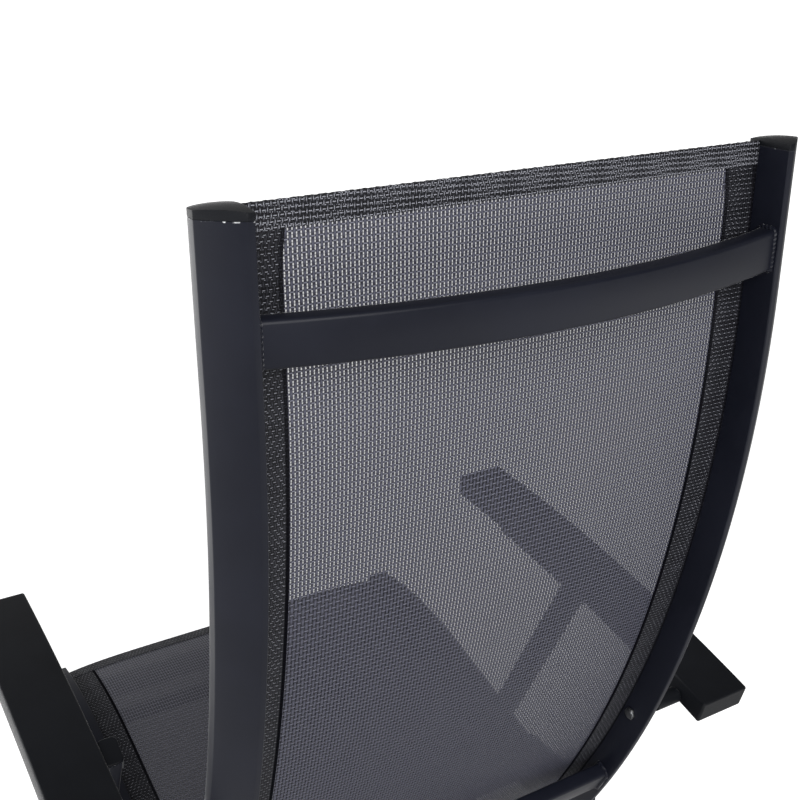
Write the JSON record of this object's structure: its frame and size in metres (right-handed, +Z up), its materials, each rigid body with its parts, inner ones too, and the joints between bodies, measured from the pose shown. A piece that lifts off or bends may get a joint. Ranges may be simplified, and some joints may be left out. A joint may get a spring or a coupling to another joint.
{
  "type": "sling patio chair",
  "caption": "Folding high-back patio armchair with mesh slings on a metal frame, crossed legs and a reclining back.",
  "frame": {"origin": "on the floor, midway across the chair and midway front to back, standing open", "axes": "+Z up, the sitter faces -Y, +X is the sitter's left"},
  "size_m": [0.6538, 0.6676, 1.1169],
  "materials": {
    "frame": "satin charcoal powder coat",
    "plastic": "matte black moulded",
    "sling": "open woven coated mesh, charcoal",
    "hardware": "dull zinc"
  },
  "bodies": {
    "seat": {"seat_rail_left": "frame", "seat_rail_right": "frame", "seat_rear_cap_left": "plastic", "seat_rear_cap_right": "plastic", "seat_front_cap_left": "plastic", "seat_front_cap_right": "plastic", "seat_cord_left": "plastic", "seat_cord_right": "plastic", "hinge_plate_left": "frame", "hinge_plate_right": "frame", "leg_saddle_left": "plastic", "leg_saddle_right": "plastic", "seat_sling": "sling", "seat_front_bar": "frame", "seat_rear_bar": "frame"},
    "back_pivots": {"back_pivot_bolt_left": "hardware", "back_pivot_bolt_right": "hardware"},
    "back": {"back_rail_left": "frame", "back_rail_right": "frame", "back_cap_left": "plastic", "back_cap_right": "plastic", "back_foot_cap_left": "plastic", "back_foot_cap_right": "plastic", "back_cord_left": "plastic", "back_cord_right": "plastic", "back_sling": "sling", "back_crossbar": "frame", "back_lower_bar": "frame"},
    "front_legs": {"front_leg_left": "frame", "front_leg_right": "frame", "front_foot_left": "plastic", "front_foot_right": "plastic", "front_leg_cap_left": "plastic", "front_leg_cap_right": "plastic", "arm_pin_left": "hardware", "arm_pin_right": "hardware", "seat_pivot_bolt_left": "hardware", "seat_pivot_bolt_right": "hardware", "seat_pivot_spacer_left": "plastic", "seat_pivot_spacer_right": "plastic", "leg_pivot_bolt_left": "hardware", "leg_pivot_bolt_right": "hardware", "leg_pivot_spacer_left": "plastic", "leg_pivot_spacer_right": "plastic", "front_leg_bar": "frame"},
    "rear_legs": {"rear_leg_left": "frame", "rear_leg_right": "frame", "rear_foot_left": "plastic", "rear_foot_right": "plastic", "rear_leg_bar": "frame", "rear_leg_rod": "frame"},
    "arm_pivot_left": {"arm_pivot_bolt_left": "hardware", "arm_pivot_spacer_left": "plastic"},
    "armrest_left": {"armrest_left": "plastic", "arm_rack_left": "plastic"},
    "arm_pivot_right": {"arm_pivot_bolt_right": "hardware", "arm_pivot_spacer_right": "plastic"},
    "armrest_right": {"armrest_right": "plastic", "arm_rack_right": "plastic"}
  },
  "joints": [
    {"name": "fold", "type": "hinge", "parent": "seat", "child": "front_legs", "pos_m": [0, -0.06611, 0.38034], "axis": [1, 0, 0], "range_deg": [0, 86]},
    {"name": "rear_leg_fold", "type": "hinge", "parent": "front_legs", "child": "rear_legs", "pos_m": [0, -0.11493, 0.28401], "axis": [-1, 0, 0], "range_deg": [0, 64]},
    {"name": "back_fold", "type": "hinge", "parent": "seat", "child": "back_pivots", "pos_m": [0, 0.10109, 0.364], "axis": [1, 0, 0], "range_deg": [0, 86.5]},
    {"name": "recline", "type": "hinge", "parent": "back_pivots", "child": "back", "pos_m": [0, 0.10109, 0.364], "axis": [-1, 0, 0], "range_deg": [0, 40]},
    {"name": "arm_recline_left", "type": "hinge", "parent": "back", "child": "arm_pivot_left", "pos_m": [0.2692, 0.19308, 0.5455], "axis": [1, 0, 0], "range_deg": [0, 22]},
    {"name": "arm_fold_left", "type": "hinge", "parent": "arm_pivot_left", "child": "armrest_left", "pos_m": [0.2692, 0.19308, 0.5455], "axis": [-1, 0, 0], "range_deg": [0, 86.5]},
    {"name": "arm_recline_right", "type": "hinge", "parent": "back", "child": "arm_pivot_right", "pos_m": [-0.2692, 0.19308, 0.5455], "axis": [1, 0, 0], "range_deg": [0, 22]},
    {"name": "arm_fold_right", "type": "hinge", "parent": "arm_pivot_right", "child": "armrest_right", "pos_m": [-0.2692, 0.19308, 0.5455], "axis": [-1, 0, 0], "range_deg": [0, 86.5]}
  ],
  "couplings": [
    {"joint": "rear_leg_fold", "follows": "fold", "ratio": 0.7333},
    {"joint": "back_fold", "follows": "fold", "ratio": 1},
    {"joint": "arm_recline_left", "follows": "recline", "ratio": 0.54},
    {"joint": "arm_fold_left", "follows": "fold", "ratio": 1},
    {"joint": "arm_recline_right", "follows": "recline", "ratio": 0.54},
    {"joint": "arm_fold_right", "follows": "fold", "ratio": 1}
  ]
}
